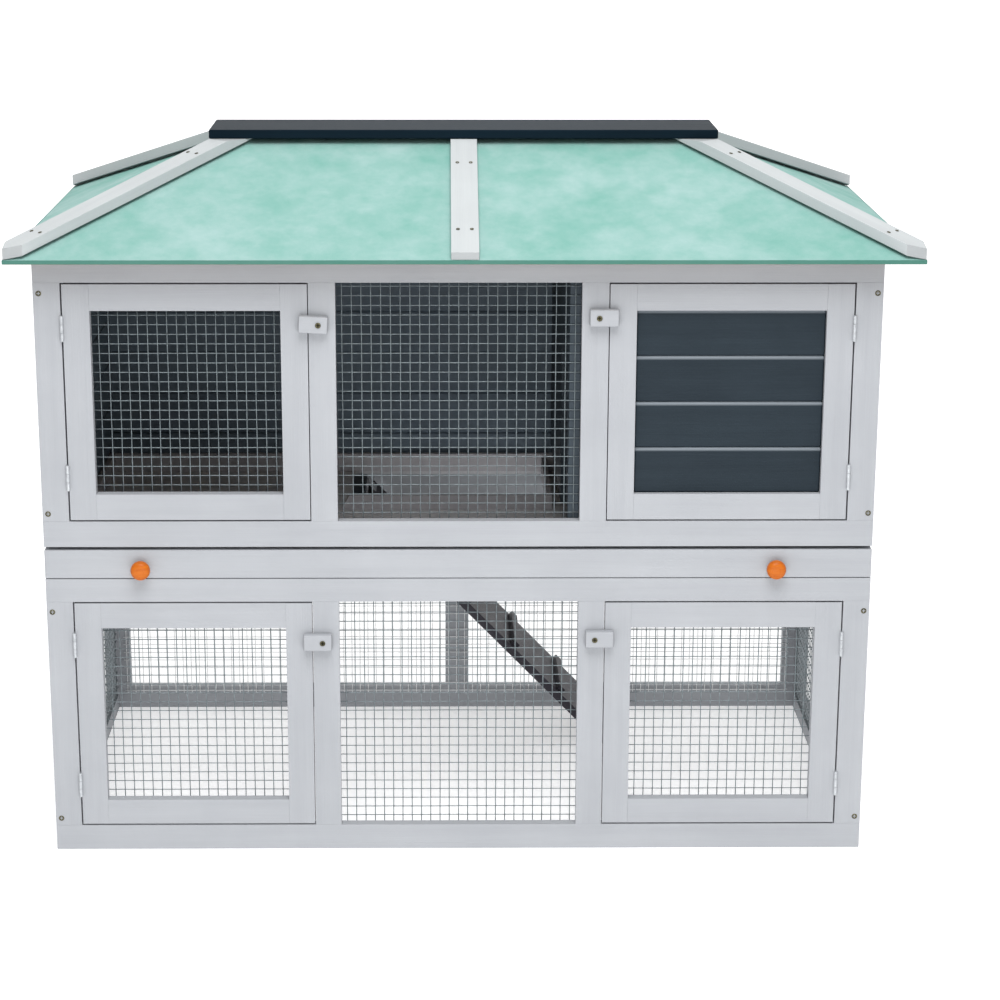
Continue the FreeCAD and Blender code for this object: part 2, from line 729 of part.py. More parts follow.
def screws_along(foot, top, normal, across_way, thickness):
    """Pairs of small screws near both ends of a batten, through its outer face."""
    run = (top - foot).normalize()
    for place in (foot + run * screw_inset, top - run * screw_inset):
        for side in (-0.5, 0.5):
            head_face = place + across_way * (side * screw_spread) + normal * thickness
            shape = wood_screw(head_face, -normal, small_shank, small_head, head_height / 2,
                               value("small_screw_length"))
            batten_screws.append(feature("screw", shape))


def hip_batten(side, way):
    """The batten on one hip, from the eave corner to the underside of the cap."""
    foot = roof_corner(side * eave_x, way * eave_y, 0)
    top = roof_corner(side * hip_x(cap_half), way * cap_half, 0)
    run = (top - foot).normalize()
    level = Vector(-run.y, run.x, 0).normalize()
    normal = run.cross(level)
    if normal.z < 0:
        normal = -normal
    corners = [foot - run * batten_width + level * (batten_width * half) for half in (-0.5, 0.5)]
    reach = run * ((top - foot).Length + 2 * batten_width)
    outline = corners + [corners[1] + reach, corners[0] + reach]
    board = prism(outline, normal * hip_thickness)
    room = Part.makeBox(eave_x, eave_y, cap_bottom - value("cap_seat"),
                        Vector(roof_shift + min(0, side * eave_x), min(0, way * eave_y), 0))
    screws_along(foot, top, normal, level, hip_thickness)
    return feature("hip_batten", board.common(room))


def centre_batten(way):
    """The batten over the joint between the two halves of a long roof face."""
    foot, top = roof_corner(0, way * eave_y, 0), roof_corner(0, way * cap_half, 0)
    half = Vector(batten_width / 2, 0, 0)
    outline = [foot - half, foot + half, top + half, top - half]
    board = prism(outline, Vector(0, 0, batten_height))
    run = (top - foot).normalize()
    normal = run.cross(Vector(1, 0, 0))
    if normal.z < 0:
        normal = -normal
    screws_along(foot, top, normal, Vector(1, 0, 0), batten)
    return feature("centre_batten", board)


node("hip_battens", [hip_batten(side, way) for side in (-1, 1) for way in (-1, 1)])
node("centre_battens", [centre_batten(-1), centre_batten(1)])
node("batten_screws", batten_screws)

# ---------------------------------------------------------------- check and write
document.recompute()
for item in document.Objects:
    faults = [state for state in item.State if state in ("Invalid", "Error")]
    if faults:
        raise RuntimeError(f"{item.Label}: {faults}")

os.makedirs("parts", exist_ok=True)
for part in NODES:
    if part.Shape.isNull() or not part.Shape.isValid():
        raise RuntimeError(f"{part.Label} has no valid shape")
    part.Shape.exportStep(f"parts/{part.Label}.step")
    print(f"{part.Label}: {len(part.Shape.Solids)} solids, {part.Shape.Volume / 1000:.1f} cm3")
print(f"{len(NODES)} nodes")
print(f"ramp length {ramp_length:.1f} mm, cap underside {cap_bottom:.1f} mm, eave {eave_top:.1f} mm")
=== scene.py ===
# %% [markdown]
# # A two-storey rabbit hutch
#
# The real hutch is planed softwood under a grey-white stain, with welded wire in its
# windows, dark stained boards inside, a pull-out tray, a hinged ramp and a hipped roof
# covered in mint roofing felt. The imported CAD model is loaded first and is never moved:
# it says where every piece goes. Each visible piece is then made again with the things a
# CAD solid leaves out, such as softened edges, round wires, grain and screw recesses.

# %% Load the frame
import json
import math

import bpy
import numpy as np
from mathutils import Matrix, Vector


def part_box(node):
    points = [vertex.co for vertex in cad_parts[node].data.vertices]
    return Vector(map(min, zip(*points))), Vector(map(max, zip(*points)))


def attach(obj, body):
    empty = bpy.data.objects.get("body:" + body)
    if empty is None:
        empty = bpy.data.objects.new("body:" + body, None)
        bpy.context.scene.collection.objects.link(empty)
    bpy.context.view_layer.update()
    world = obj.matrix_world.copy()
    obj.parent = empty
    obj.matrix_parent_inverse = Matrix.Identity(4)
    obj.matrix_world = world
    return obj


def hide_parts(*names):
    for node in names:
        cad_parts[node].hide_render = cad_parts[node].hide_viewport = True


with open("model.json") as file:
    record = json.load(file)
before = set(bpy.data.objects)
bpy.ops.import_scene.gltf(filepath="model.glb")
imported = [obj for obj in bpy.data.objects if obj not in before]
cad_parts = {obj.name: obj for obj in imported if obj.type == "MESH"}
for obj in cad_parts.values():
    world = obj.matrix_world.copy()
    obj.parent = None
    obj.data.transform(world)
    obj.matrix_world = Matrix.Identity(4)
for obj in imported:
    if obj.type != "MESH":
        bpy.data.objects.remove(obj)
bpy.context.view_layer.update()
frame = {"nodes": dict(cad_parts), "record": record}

# %% [markdown]
# ## Camera
#
# The hutch is seen a little from above through a long lens, as in a catalogue. A short
# lens close by would make the near roof loom. A long one far off keeps the doors square.

# %% Camera
tilt, roll, turn = 74.647, -0.076, -0.54
lens = bpy.data.cameras.new("camera")
lens.lens = 90.57
lens.shift_x = 0.032
camera = bpy.data.objects.new("camera", lens)
camera.location = (-0.0191, -3.4954, 1.3757)
camera.rotation_euler = [math.radians(angle) for angle in (tilt, roll, turn)]
bpy.context.scene.collection.objects.link(camera)
bpy.context.scene.camera = camera
print("camera", [round(x, 3) for x in camera.location], "m, lens", lens.lens, "mm")


# %% [markdown]
# ## Shader sums as plain Python
#
# A material is a web of nodes. Wiring each sum by hand hides the idea, so a small class
# wraps a socket and adds a Math node whenever Python adds or multiplies it.

# %% A socket that does sums
class Wave:
    """A value that varies over a surface, held as the socket that it comes from."""

    def __init__(self, finish, socket):
        self.finish = finish
        self.socket = socket

    def __add__(self, other):
        return self.finish.maths("ADD", self, other)

    def __mul__(self, other):
        return self.finish.maths("MULTIPLY", self, other)


# %% A material under construction
class Finish:
    """A named material. node() adds any node, and the other methods are short ways to it."""

    def __init__(self, name):
        self.material = bpy.data.materials.new(name)
        self.material.use_nodes = True
        self.tree = self.material.node_tree
        self.tree.nodes.clear()

    def node(self, kind, settings, values, out=0):
        """Add a node: its settings first, then the numbers or links of its sockets."""
        made = self.tree.nodes.new(kind)
        for key, setting in settings.items():
            setattr(made, key, setting)
        for key, given in values.items():
            if isinstance(given, Wave):
                self.tree.links.new(given.socket, made.inputs[key])
            else:
                made.inputs[key].default_value = given
        return Wave(self, made.outputs[out] if made.outputs else None)

    def maths(self, operation, first, second):
        return self.node("ShaderNodeMath", {"operation": operation}, {0: first, 1: second})

    def between(self, wave, low, high):
        """The wave stretched so that low becomes 0 and high becomes 1, and held there."""
        values = {"Value": wave, "From Min": low, "From Max": high}
        return self.node("ShaderNodeMapRange", {"clamp": True}, values)

    def mix(self, factor, first, second):
        """Two colours mixed. Factor 0 gives the first and 1 the second."""
        ends = [end if isinstance(end, Wave) else (*end, 1.0) for end in (first, second)]
        values = {0: factor, 6: ends[0], 7: ends[1]}
        return self.node("ShaderNodeMix", {"data_type": "RGBA"}, values, 2)

    def noise(self, place, scale, detail=3.0, roughness=0.55):
        values = {"Vector": place, "Scale": scale, "Detail": detail, "Roughness": roughness}
        return self.node("ShaderNodeTexNoise", {}, values)

    def stretched(self, place, scale):
        """Coordinates scaled by a different amount along each axis."""
        return self.node("ShaderNodeMapping", {}, {"Vector": place, "Scale": scale})

    def place(self):
        """Where a point is on the object, in metres."""
        return self.node("ShaderNodeTexCoord", {}, {}, "Object")

    def unrolled(self):
        """The piece's own UV map, in metres: along the grain, and round the piece."""
        return self.node("ShaderNodeUVMap", {"uv_map": "grain"}, {})

    def mark(self, name):
        """A number that the piece carries on its vertices."""
        return self.node("ShaderNodeAttribute", {"attribute_name": name}, {}, "Fac")

    def bump(self, height, depth, strength=1.0):
        values = {"Height": height, "Distance": depth, "Strength": strength}
        return self.node("ShaderNodeBump", {}, values)

    def done(self, varying, steady):
        """Close the material: what varies is linked, and steady numbers are set."""
        shader = self.node("ShaderNodeBsdfPrincipled", {}, {**steady, **varying})
        self.node("ShaderNodeOutputMaterial", {}, {"Surface": shader})
        return self.material


# %% [markdown]
# ## Stained softwood
#
# The hutch's timber is pine under a thin grey-white stain, so the grain shows as faint
# long fibres and as soft bands. Stretching noise along the timber gives both. Plain noise
# would look like cloud, and an image would need its own map for every length. Each plank
# takes the stain a little differently, which the tone that it carries gives.

# %% Stained wood
def stained_wood(name, light, dark, fibre_depth, roughness,
                 tone_spread=0.16, shine=0.35, end_or_highlight_colour=None):
    """Stained planed softwood: fibres, bands of grain, and a tone for each plank.

    The last argument is the colour of the marked places: darker end grain, and on the door boards
    a painted highlight along each upper chamfer. If it isn't given, it is a deeper shade of dark.
    """
    wood = Finish(name)
    along = wood.unrolled()
    fibres = wood.noise(wood.stretched(along, (9.0, 900.0, 1.0)), 1.0, 5.0, 0.62)
    bands = wood.noise(wood.stretched(along, (2.2, 60.0, 1.0)), 1.0, 3.0, 0.5)
    patches = wood.noise(wood.place(), 7.0, 4.0)
    worn = wood.between(patches, 0.35, 0.72)
    figure = fibres * 0.45 + bands * 0.55
    tone = wood.mark("tone") * tone_spread + worn * 0.25
    share = wood.between(figure + tone, 0.3, 0.95)
    colour = wood.mix(share, light, dark)
    # Marked places take the last colour: end grain, and the door boards' painted highlight.
    end_grain_and_highlight = wood.mix(wood.mark("end") * 0.5, colour, end_or_highlight_colour or [c * 0.62 for c in dark])
    normal = wood.bump(fibres * 0.7 + bands * 0.6, fibre_depth)
    rough = fibres * 0.14 + (roughness - 0.07)
    return wood.done({"Base Color": end_grain_and_highlight, "Roughness": rough, "Normal": normal},
                     {"Specular IOR Level": shine})


grey_white = stained_wood("grey-white stained pine", (0.375, 0.388, 0.410),
                          (0.31, 0.322, 0.344), 0.0004, 0.62, tone_spread=0.06)
near_white = stained_wood("near-white stained pine", (0.45, 0.475, 0.48),
                          (0.38, 0.40, 0.41), 0.0004, 0.6)
# The door boards' marked colour is a painted highlight along the upper chamfer of each board.
boarding = stained_wood("anthracite door boards", (0.022, 0.033, 0.043),
                        (0.012, 0.019, 0.026), 0.0006, 0.5, shine=0.12, end_or_highlight_colour=(0.19, 0.215, 0.24))
mauve_grey = stained_wood("mauve-grey stained ramp", (0.050, 0.046, 0.056),
                          (0.028, 0.026, 0.033), 0.0006, 0.5, shine=0.15)
slate = stained_wood("slate stained inner timber", (0.045, 0.060, 0.074),
                     (0.026, 0.036, 0.046), 0.0006, 0.5, shine=0.2)
lining = stained_wood("slate stained wall boards", (0.150, 0.198, 0.245),
                      (0.098, 0.13, 0.163), 0.0006, 0.6)
blue_black = stained_wood("blue-black painted pine", (0.004, 0.013, 0.022),
                          (0.002, 0.007, 0.012), 0.0003, 0.54, shine=0.05)
shaded_grey = stained_wood("grey stained pine", (0.52, 0.505, 0.53),
                           (0.41, 0.398, 0.42), 0.0005, 0.62)
sawn_pine = stained_wood("bare pine board", (0.42, 0.31, 0.20),
                         (0.30, 0.20, 0.11), 0.0008, 0.7)
print("wood finishes made")

# %% [markdown]
# ## Roofing felt
#
# The felt is a bitumen sheet with a skin of crushed mint-green mineral. It fades in soft
# clouds and its granules catch the light, so three sizes of noise are laid over each other.
# Its cut ends are a deeper green, and the lip turned down over the eaves is a deep green of
# painted shade, on a face that the light from above misses.

# %% Felt
def mineral_felt(name):
    """Mint mineral felt: pale clouds, granules of crushed stone, deeper cut ends and a lip in
    painted shade.
    """
    felt = Finish(name)
    at = felt.place()
    clouds = felt.between(felt.noise(at, 9.0, 6.0, 0.62), 0.36, 0.66)
    blotches = felt.between(felt.noise(at, 34.0, 4.0, 0.6), 0.35, 0.68)
    granules = felt.noise(at, 1500.0, 2.0, 0.7)
    pale = clouds * 0.62 + blotches * 0.38
    green = felt.mix(pale, (0.150, 0.345, 0.298), (0.29, 0.435, 0.417))
    speckled = felt.mix(felt.between(granules, 0.5, 0.8) * 0.16, green, (0.6, 0.65, 0.64))
    # Marked places turn deep green: the cut ends, and painted shade on the turned-down lip.
    ends_and_lip_shade = felt.mix(felt.mark("end"), speckled, (0.035, 0.14, 0.105))
    normal = felt.bump(granules + clouds * 0.8, 0.0006, 0.8)
    return felt.done({"Base Color": ends_and_lip_shade, "Roughness": granules * 0.2 + 0.75, "Normal": normal},
                     {"Specular IOR Level": 0.25})


felt_finish = mineral_felt("mint mineral felt")

# %% [markdown]
# ## Metals and varnish
#
# The wire is dipped in zinc, which dries in dull patches. The screws are zinc-plated and
# yellow, and their recesses are dark with shadow and dirt. The knobs are turned wood
# under an orange varnish, so a clear coat lies over the grain.

# %% Metals
def plated_metal(name, bright, dull, roughness, metallic=0.9):
    """Plated steel that is brighter in some patches, with painted shade and dirt darkening its
    marked recesses.
    """
    metal = Finish(name)
    patches = metal.between(metal.noise(metal.place(), 160.0, 3.0), 0.35, 0.65)
    colour = metal.mix(patches, bright, dull)
    # Marked recesses are darkened with painted shade and dirt.
    dirt_and_shade = metal.mix(metal.mark("end") * 0.93, colour, (0.012, 0.012, 0.010))
    return metal.done({"Base Color": dirt_and_shade, "Roughness": patches * 0.18 + roughness},
                      {"Metallic": metallic})


zinc_wire = plated_metal("galvanised wire", (0.178, 0.213, 0.226), (0.126, 0.148, 0.158), 0.5, 0.4)
# The back sheet is the same wire painted near-white: painted light, for the white floor and
# backdrop that light it.
lit_back_wire = plated_metal("galvanised wire painted pale", (0.92, 0.93, 0.93), (0.86, 0.87, 0.87), 0.5, 0.1)
zinc_sheet = plated_metal("zinc-plated hinge", (0.50, 0.52, 0.54), (0.40, 0.42, 0.44), 0.36, 0.5)
yellow_zinc = plated_metal("yellow zinc screw", (0.13, 0.12, 0.07), (0.07, 0.065, 0.04), 0.4)


# %% Orange varnish
def orange_varnish(name):
    """Turned wood under a coloured varnish: rings of the lathe, faint grain and a coat."""
    wood = Finish(name)
    along = wood.unrolled()
    grain = wood.noise(wood.stretched(wood.place(), (60.0, 14.0, 420.0)), 1.0, 4.0)
    rings = wood.noise(wood.stretched(along, (1400.0, 2.0, 1.0)), 1.0, 2.0)
    colour = wood.mix(wood.between(grain, 0.3, 0.75), (0.50, 0.125, 0.004), (0.41, 0.085, 0.002))
    normal = wood.bump(rings + grain * 0.5, 0.0001, 0.5)
    return wood.done({"Base Color": colour, "Roughness": grain * 0.2 + 0.3, "Normal": normal},
                     {"Coat Weight": 0.06, "Coat Roughness": 0.3, "Specular IOR Level": 0.22})


varnish = orange_varnish("orange varnished knob")
print(len(bpy.data.materials), "finishes")

# %% [markdown]
# ## Surfaces carried along a path
#
# Timber, wire, felt, screws and knobs all have one thing in common: a closed outline that
# is carried from one end to the other. One function takes such outlines, as an array of
# rings, and closes both ends. Extruding and bevelling each piece by hand would give the
# same shapes, but not the map along the grain that the stains need.

# %% Gather rings into a mesh
class Stock:
    """The surfaces of one piece, gathered ring by ring before they become a mesh."""

    def __init__(self):
        self.points, self.faces, self.maps, self.marks, self.flats = [], [], [], [], []
        self.count = 0

    def carry(self, rings, u, v, ends, tone=0.5, flat=None, mark=0.0):
        """Skin over rings[station, point], which run anticlockwise seen from the far end.

        u is the distance along at each station and v the distance round at each point, with
        one more for the seam. ends maps the two closing faces, flat marks the spans that are
        plane, and mark is the share at each point of end grain, of dirt, and of painted shade and
        painted highlight. Strips between opposite points close both ends, so an end may fold
        along one of them.
        """
        stations, around = rings.shape[:2]
        row = self.count + np.arange(stations - 1)[:, None] * around
        here = np.arange(around)[None, :]
        after = (here + 1) % around
        quads = np.stack([row + here, row + after, row + around + after, row + around + here], -1)
        self.faces += quads.reshape(-1, 4).tolist()
        u_low, v_low = np.meshgrid(u[:-1], v[:-1], indexing="ij")
        u_high, v_high = np.meshgrid(u[1:], v[1:], indexing="ij")
        corners = np.array([(u_low, v_low), (u_low, v_high), (u_high, v_high), (u_high, v_low)])
        self.maps.append(corners.transpose(2, 3, 0, 1).reshape(-1, 2))
        plane = np.zeros(quads.shape[:2], bool) if flat is None else flat
        self.flats.append(plane.ravel())
        step = np.arange(around // 2 - 1)
        strip = np.stack([step, step + 1, around - 2 - step, around - 1 - step], -1)
        self.faces += (self.count + strip[:, ::-1]).tolist()
        self.faces += (self.count + (stations - 1) * around + strip).tolist()
        self.maps += [ends[strip[:, ::-1]].reshape(-1, 2), ends[strip].reshape(-1, 2)]
        self.flats.append(np.ones(2 * len(step), bool))
        self.points.append(rings.reshape(-1, 3))
        marks = np.broadcast_to(mark, (stations, around)).ravel()
        self.marks.append(np.stack([np.full(marks.size, tone), marks], -1))
        self.count += marks.size

    def piece(self, name, finish, slot, body, *nodes):
        """Make the mesh, and let the piece ride on its body in place of its CAD nodes."""
        mesh = bpy.data.meshes.new(name)
        mesh.from_pydata(np.concatenate(self.points).tolist(), [], self.faces)
        unrolled = mesh.uv_layers.new(name="grain")
        unrolled.data.foreach_set("uv", np.concatenate(self.maps).ravel().astype(np.float32))
        for column, label in enumerate(("tone", "end")):
            values = np.concatenate(self.marks)[:, column].astype(np.float32)
            mesh.attributes.new(label, "FLOAT", "POINT").data.foreach_set("value", values)
        mesh.polygons.foreach_set("use_smooth", ~np.concatenate(self.flats))
        mesh.materials.append(finish)
        made = bpy.data.objects.new(name, mesh)
        bpy.context.scene.collection.objects.link(made)
        if nodes:
            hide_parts(*nodes)
        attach(made, body)
        print(f"{name}: {len(self.faces)} faces")
        return made


# %% [markdown]
# ## Reading the CAD solids
#
# A CAD node may hold several solids, such as the four stiles of a frame. Its mesh is loose
# triangles in the order of the solids, so a solid ends where every edge has met its twin.

# %% Split a node into its solids
def solids(node):
    """The corners of each solid of a CAD node, as a list of arrays."""
    mesh = frame["nodes"][node].data
    spots = np.empty(len(mesh.vertices) * 3)
    mesh.vertices.foreach_get("co", spots)
    corners, welded = np.unique(spots.reshape(-1, 3).round(6), axis=0, return_inverse=True)
    triangles = np.empty(len(mesh.loops), int)
    mesh.loops.foreach_get("vertex_index", triangles)
    triangles = welded.ravel()[triangles].reshape(-1, 3)
    found, open_edges, first = [], set(), 0
    for index, (a, b, c) in enumerate(triangles.tolist()):
        for edge in ((a, b), (b, c), (c, a)):
            if edge[::-1] in open_edges:
                open_edges.remove(edge[::-1])
            else:
                open_edges.add(edge)
        if not open_edges:
            found.append(corners[np.unique(triangles[first:index + 1])])
            first = index + 1
    return found


dice = np.random.default_rng(7)
print("tray walls:", len(solids("tray_walls")), "solids")


# %% [markdown]
# ## Timber
#
# A planed timber is a rectangle with softened edges, carried straight along its grain and
# cut off by planes. Most ends are square. The battens on the hips are cut by two plumb
# planes and a level one, and the same sum handles both: each point of the outline travels
# along the grain until it meets the nearest cutting plane.

# %% Outline and ends
def rounded_outline(half_width, half_height, radius, bends=3, spans=(1, 1)):
    """A rectangle with quarter-circle corners, anticlockwise: x, y and which spans are plane.

    Corner k turns by 90 degrees: x = (w - r) sign + r cos(a) and y = (h - r) sign + r sin(a).
    """
    sweep = np.linspace(0, math.pi / 2, bends + 1)
    xs, ys, plane = [], [], []
    signs = ((1, 1), (-1, 1), (-1, -1), (1, -1))
    for corner, (right, up) in enumerate(signs):
        angle = sweep + corner * math.pi / 2
        xs.append(right * (half_width - radius) + radius * np.cos(angle))
        ys.append(up * (half_height - radius) + radius * np.sin(angle))
        plane += [False] * bends + [True]
        following = signs[(corner + 1) % 4]
        steps = spans[corner % 2]
        inner = np.arange(1, steps) / steps
        next_x = following[0] * (half_width - radius) + radius * math.cos(angle[-1])
        next_y = following[1] * (half_height - radius) + radius * math.sin(angle[-1])
        xs.append(xs[-1][-1] + (next_x - xs[-1][-1]) * inner)
        ys.append(ys[-1][-1] + (next_y - ys[-1][-1]) * inner)
        plane += [True] * (steps - 1)
    return np.concatenate(xs), np.concatenate(ys), np.array(plane)


def lengths_to_cuts(starts, along, cuts):
    """How far each point goes back and forth along the grain before it meets a cutting plane.

    A plane is (outward normal, distance). Point p meets it at s = (d - n.p) / (n.along).
    """
    back, forth = np.full(len(starts), -np.inf), np.full(len(starts), np.inf)
    for normal, distance in cuts:
        rate = float(np.dot(normal, along))
        if abs(rate) > 1e-9:
            reach = (distance - starts @ normal) / rate
            if rate > 0:
                forth = np.minimum(forth, reach)
            else:
                back = np.maximum(back, reach)
    return back, forth


# %% One timber
def unit(vector):
    return np.array(vector, float) / np.linalg.norm(vector)


def timber(stock, points, along, up, side=None, cuts=None, radius=0.0004, bends=2, spans=(1, 1),
           steps=1, relief=None, marked=None):
    """Carry a softened rectangle along the grain of a solid, given by its corner points.

    Point j of station t lies at side x + up y + along (s0 + (s1 - s0) t). Over the last r of
    each end the outline draws in by r (1 - sin a) while it goes forward by r (1 - cos a).
    relief gives how far points of the top sink, and marked the mark of each outline point.
    """
    along, up = unit(along), unit(up)
    side = np.cross(up, along) if side is None else unit(side)
    axes = np.stack([side, up, along])
    local = points @ np.linalg.inv(axes)
    middle, half = (local.max(0) + local.min(0)) / 2, np.ptp(local, axis=0) / 2
    cuts = [along, -along] if cuts is None else [unit(normal) for normal in cuts]
    planes = [(normal, (points @ normal).max()) for normal in cuts]
    turn = np.linspace(0, math.pi / 2, bends + 1)
    inset, forward = radius * (1 - np.sin(turn)), radius * (1 - np.cos(turn))

    def station(drawn_in):
        x, y, plane = rounded_outline(half[0] - drawn_in, half[1] - drawn_in,
                                      radius - 0.6 * drawn_in, bends, spans)
        start = (middle[0] + x)[:, None] * side + (middle[1] + y)[:, None] * up
        back, forth = lengths_to_cuts(start, along, planes)
        return x, y, plane, start, back, forth

    x, y, plane, start, back, forth = station(0.0)
    near, far = [], []
    for drawn_in, gone in zip(inset, forward):
        *_, ring, low, high = station(drawn_in)
        near.append(ring + (low + gone)[:, None] * along)
        far.append(ring + (high - gone)[:, None] * along)
    share = (np.arange(1, steps) / steps)[:, None, None]
    between = near[-1] + (far[-1] - near[-1]) * share
    rings = np.concatenate([np.array(near), between, np.array(far[::-1])])
    if relief is not None:
        rings = rings + relief(rings)[..., None] * np.where(y > 0, 1.0, 0.0)[None, :, None] * up
    travel = (rings @ along).mean(1)
    seam = np.append(np.arange(len(x)), 0)
    girth = np.concatenate([[0], np.cumsum(np.hypot(np.diff(x[seam]), np.diff(y[seam])))])
    shift = dice.random(2) * 3
    mark = np.zeros(rings.shape[:2])
    # The end rings are marked: end grain on wood, and the deeper green of the felt's cut ends.
    mark[:bends], mark[-bends:] = 1.0, 1.0
    # marked replaces the marks: the door boards' painted highlight, and the felt lip's painted
    # shade.
    if marked is not None:
        mark[:] = marked(x / half[0])
    flat = np.zeros((len(rings) - 1, len(x)), bool)
    flat[bends:-bends] = plane
    if relief is not None:
        flat[:] = False
    stock.carry(rings, travel + shift[0], girth + shift[1], np.stack([x, y], 1) + shift,
                dice.random(), flat, mark)


def plank(stock, points, **more):
    """A timber square to the frame: its grain runs its longest way, and it lies flat."""
    size = np.ptp(points, axis=0)
    timber(stock, points, np.eye(3)[size.argmax()], np.eye(3)[size.argmin()], **more)


# %% [markdown]
# ## The two storeys
#
# Each storey is four frames of 15 mm timber, butted and screwed. The stain runs over the
# joints, so the edges are softened by only a fifth of a millimetre: enough for a hairline
# where two timbers meet.

# %% Frames, slot rails, doors and the tray's front
bodies = frame["record"]["behaviour"]["bodies"]
body_of = {node: body for body, nodes in bodies.items() for node in nodes}


def planked(node, finish, slot, **more):
    """Replace a node of square timbers by softened planks."""
    stock = Stock()
    for points in solids(node):
        plank(stock, points, **more)
    return stock.piece(f"{node}_timber", finish, slot, body_of[node], node)


parts = ("front_stiles", "front_rails", "back_stiles", "back_rails", "side_stiles", "side_rails",
         "left_door_frame", "right_door_frame")
for storey in ("lower", "upper"):
    for part in parts:
        planked(f"{storey}_{part}", grey_white, "grey_white_timber", radius=0.0002, bends=1)
planked("tray_slot_rails", grey_white, "grey_white_timber")
planked("tray_front", grey_white, "grey_white_timber", radius=0.0009, bends=3)

# %% [markdown]
# ## Boards
#
# The rooms upstairs are lined with thin boards laid edge to edge. Each has its edges
# chamfered, so a shallow V runs between two boards. On the door the upper chamfer of each
# board carries a painted highlight, and the outline's fine spans leave room to mark it.

# %% Lining boards, partition, runners and bearers
chamfer = 0.0022


def lit_chamfer(x):
    """The mark of the painted highlight at a place across a board, from -1 to 1: twice over past
    -0.9, so it is full.
    """
    return np.where(x < -0.9, 2.0, 0.0)


# The door boards' upper chamfers are marked for a painted highlight.
planked("upper_right_door_boards", boarding, "dark_boards", radius=chamfer, bends=1,
        spans=(18, 1), marked=lit_chamfer)
planked("back_wall_boards", lining, "dark_boards", radius=chamfer, bends=1)
planked("side_wall_boards", lining, "dark_boards", radius=chamfer, bends=1)
for node in ("nest_partition", "tray_runners", "floor_bearers"):
    planked(node, slate, "dark_boards", radius=0.0008)

# %% [markdown]
# ## Tray
#
# The tray is the floor of the upper storey. A rabbit steps off the ramp through the hole in
# it, over a low sill whose left end is cut at a slant.

# %% Tray walls and base
tray = Stock()
for points in solids("tray_walls"):
    if len(points) > 8:
        slanted_end = [(1, 0, 0), (-1, 0, 0), (-1, 0, 1)]
        timber(tray, points, (1, 0, 0), (0, 0, 1), cuts=slanted_end, radius=0.0006)
    else:
        plank(tray, points, radius=0.0006)
tray.piece("tray_walls_timber", shaded_grey, "grey_tray_timber", "tray", "tray_walls")

# %% [markdown]
# ## Ramp
#
# The ramp and its cleats lie at a slope, so their own directions are read from their
# corners: the shortest edge is the thickness, and the longest one square to it the grain.

# %% Ramp board and cleats
def own_axes(points):
    """The grain and thickness directions of a box that isn't square to the frame."""
    edges = points[1:] - points[0]
    edges = edges[np.argsort(np.linalg.norm(edges, axis=1))]
    thin = unit(edges[0])
    square = [edge for edge in edges[1:] if abs(unit(edge) @ thin) < 1e-3]
    across = unit(square[0])
    grain = [edge for edge in square[1:] if abs(unit(edge) @ across) < 1e-3]
    return unit(grain[0]), thin


def sloping(stock, points, **more):
    grain, thin = own_axes(points)
    timber(stock, points, grain, thin, **more)


ramp = Stock()
for node in ("ramp_board", "ramp_cleats"):
    for points in solids(node):
        sloping(ramp, points, radius=0.0009)
ramp.piece("ramp_timber", mauve_grey, "dark_boards", "ramp", "ramp_board", "ramp_cleats")

# %% [markdown]
# ## Turn buttons
#
# A turn button is a short block of wood on one screw. Its edges are more worn than the
# frame's, because it is turned by hand every day.

# %% Turn buttons
for name in ("lower_left", "lower_right", "upper_left", "upper_right"):
    node = f"{name}_turn_button"
    corners = solids(node)[0]
    from_middle = np.linalg.norm(corners - corners.mean(0), axis=1)
    button = Stock()
    sloping(button, corners[np.argsort(from_middle)[-8:]], radius=0.0014, bends=3)
    button.piece(f"{node}_block", grey_white, "grey_white_timber", f"{name}_button", node)

# %% [markdown]
# ## Roof
#
# Two thin boards make each long face and one makes each end. Felt covers them, lies in
# slight waves of its own and turns down over their edges. The outline of a slab slopes while
# its thickness is plumb, so the two directions of the outline need not be square.

# %% Slabs of a roof face
felt_low = np.array(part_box("roof_felt_front")[0])
felt_high = np.array(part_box("roof_felt_back")[1])
felt_top = max(points[:, 2][points[:, 1] < felt_low[1] + 1e-4].max()
               for points in solids("roof_felt_front"))


def slab(stock, points, across, **more):
    """A roof slab that slopes along one axis: 0 for the ends and 1 for the long faces."""
    away = np.sign(points[:, across].mean())
    far = points[:, across] * away > (points[:, across] * away).max() - 1e-4
    low, high = points[far][:, 2].max(), points[~far][:, 2].max()
    outer = points[far][0, across]
    inner = points[~far][np.argmax(points[~far][:, 2]), across]
    slope = np.zeros(3)
    slope[across], slope[2] = inner - outer, high - low
    along = np.eye(3)[1 - across]
    if np.linalg.det(np.stack([unit(slope), (0, 0, 1), along])) < 0:
        along = -along
    ends = []
    for way in (-1, 1):
        lower = points[far][np.argmax(points[far][:, 1 - across] * way)]
        upper = points[~far][np.argmax(points[~far][:, 1 - across] * way)]
        line = (upper - lower)[:2]
        normal = np.array([line[1], -line[0], 0.0])
        ends.append(normal * np.sign(normal[1 - across] * way))
    timber(stock, points, along, (0, 0, 1), side=slope, cuts=ends, **more)


def felt_waves(points):
    """How far the felt sinks: three slow waves along the roof and two across, under 0.5 mm."""
    x, y = points[..., 0], points[..., 1]
    waves = np.sin(23 * x + 9 * y) + np.sin(41 * y - 17 * x + 1.3) + np.sin(67 * x + 31 * y + 4.1)
    return 0.00008 * (waves - 3)


